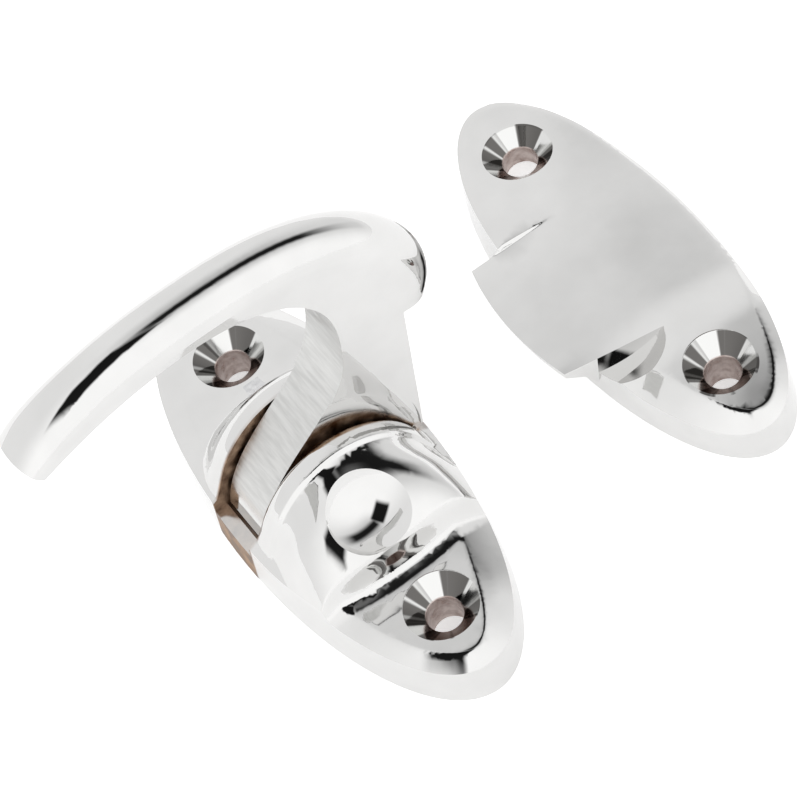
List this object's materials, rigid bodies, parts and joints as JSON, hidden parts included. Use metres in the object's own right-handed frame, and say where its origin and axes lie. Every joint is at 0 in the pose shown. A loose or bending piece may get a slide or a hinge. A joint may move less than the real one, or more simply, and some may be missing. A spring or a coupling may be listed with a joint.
{
  "type": "window fastener",
  "caption": "Surface casement window fastener: an oval base with a curved cam lever on a cross pivot, and a separate oval strike plate whose flat lip the lever's nose hooks over.",
  "frame": {"origin": "midway between the base's two screw holes, on its back face", "axes": "+Z out of the window from the back face, +Y along the base's long axis and along the lever's pivot, +X towards the strike plate"},
  "size_m": [0.0813, 0.0634, 0.0464],
  "materials": {
    "chrome": "mirror polished",
    "bronze": "satin",
    "steel": "polished"
  },
  "bodies": {
    "fixed_set": {"fastener_base": "chrome", "pivot_pin": "steel", "near_washer": "bronze", "far_washer": "bronze", "strike_plate": "chrome"},
    "lever": {"cam_lever": "chrome"}
  },
  "joints": [
    {"name": "lever_swing", "type": "hinge", "parent": "fixed_set", "child": "lever", "pos_m": [0, 0.00285, 0.0078], "axis": [0, -1, 0], "range_deg": [0, 25]}
  ]
}
